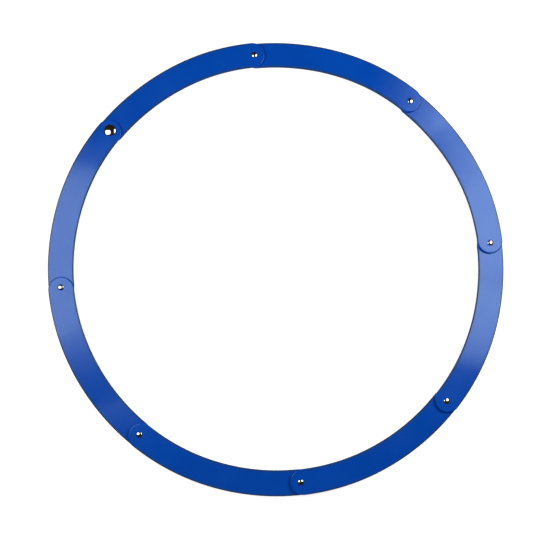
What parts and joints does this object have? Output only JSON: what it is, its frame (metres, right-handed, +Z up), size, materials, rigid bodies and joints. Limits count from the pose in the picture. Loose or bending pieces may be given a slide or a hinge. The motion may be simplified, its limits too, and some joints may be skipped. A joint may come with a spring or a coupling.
{
  "type": "folding juggling ring",
  "caption": "Large flat juggling ring of curved plastic links, riveted end over end and closed by a press stud, that folds on its pivots.",
  "frame": {"origin": "centre of the ring, on the surface that it lies on, which is the flat lands of its lower caps", "axes": "+Z up through the ring's hole, away from the surface. The pivots stand every 45 degrees, with the press-stud closure at 135 degrees anticlockwise from +X, and +Y is close to the top of the reference view"},
  "size_m": [0.385, 0.385, 0.0098],
  "materials": {
    "link_plastic": "satin moulded blue, edges rounded",
    "rivet_steel": "polished nickel plate",
    "closure_steel": "polished nickel plate, a little darker than the rivets"
  },
  "bodies": {
    "link_1": {"link_1": "link_plastic", "closure_cap": "closure_steel", "closure_socket": "closure_steel", "closure_spring": "closure_steel"},
    "link_2": {"link_2": "link_plastic", "rivet_1_base": "rivet_steel", "rivet_1_cap": "rivet_steel"},
    "link_3": {"link_3": "link_plastic", "rivet_2_base": "rivet_steel", "rivet_2_cap": "rivet_steel"},
    "link_4": {"link_4": "link_plastic", "rivet_3_base": "rivet_steel", "rivet_3_cap": "rivet_steel"},
    "link_5": {"link_5": "link_plastic", "rivet_4_base": "rivet_steel", "rivet_4_cap": "rivet_steel"},
    "link_6": {"link_6": "link_plastic", "rivet_5_base": "rivet_steel", "rivet_5_cap": "rivet_steel"},
    "link_7": {"link_7": "link_plastic", "rivet_6_base": "rivet_steel", "rivet_6_cap": "rivet_steel"},
    "link_8": {"link_8": "link_plastic", "rivet_7_base": "rivet_steel", "rivet_7_cap": "rivet_steel", "closure_stud": "closure_steel", "closure_eyelet": "closure_steel"}
  },
  "joints": [
    {"name": "pivot_1", "type": "hinge", "parent": "link_1", "child": "link_2", "pos_m": [-0.1818, 0, 0.00445], "axis": [0, 0, 1], "range_deg": [-125, 125]},
    {"name": "pivot_2", "type": "hinge", "parent": "link_2", "child": "link_3", "pos_m": [-0.12855, -0.12855, 0.00445], "axis": [0, 0, 1], "range_deg": [-125, 125]},
    {"name": "pivot_3", "type": "hinge", "parent": "link_3", "child": "link_4", "pos_m": [0, -0.1818, 0.00445], "axis": [0, 0, 1], "range_deg": [-125, 125]},
    {"name": "pivot_4", "type": "hinge", "parent": "link_4", "child": "link_5", "pos_m": [0.12855, -0.12855, 0.00445], "axis": [0, 0, 1], "range_deg": [-125, 125]},
    {"name": "pivot_5", "type": "hinge", "parent": "link_5", "child": "link_6", "pos_m": [0.1818, 0, 0.00445], "axis": [0, 0, 1], "range_deg": [-125, 125]},
    {"name": "pivot_6", "type": "hinge", "parent": "link_6", "child": "link_7", "pos_m": [0.12855, 0.12855, 0.00445], "axis": [0, 0, 1], "range_deg": [-125, 125]},
    {"name": "pivot_7", "type": "hinge", "parent": "link_7", "child": "link_8", "pos_m": [0, 0.1818, 0.00445], "axis": [0, 0, 1], "range_deg": [-125, 125]}
  ],
  "couplings": [
    {"joint": "pivot_2", "follows": "pivot_1", "ratio": -1},
    {"joint": "pivot_3", "follows": "pivot_1", "ratio": 1},
    {"joint": "pivot_4", "follows": "pivot_1", "ratio": -1},
    {"joint": "pivot_5", "follows": "pivot_1", "ratio": 1},
    {"joint": "pivot_6", "follows": "pivot_1", "ratio": -1},
    {"joint": "pivot_7", "follows": "pivot_1", "ratio": 1}
  ]
}
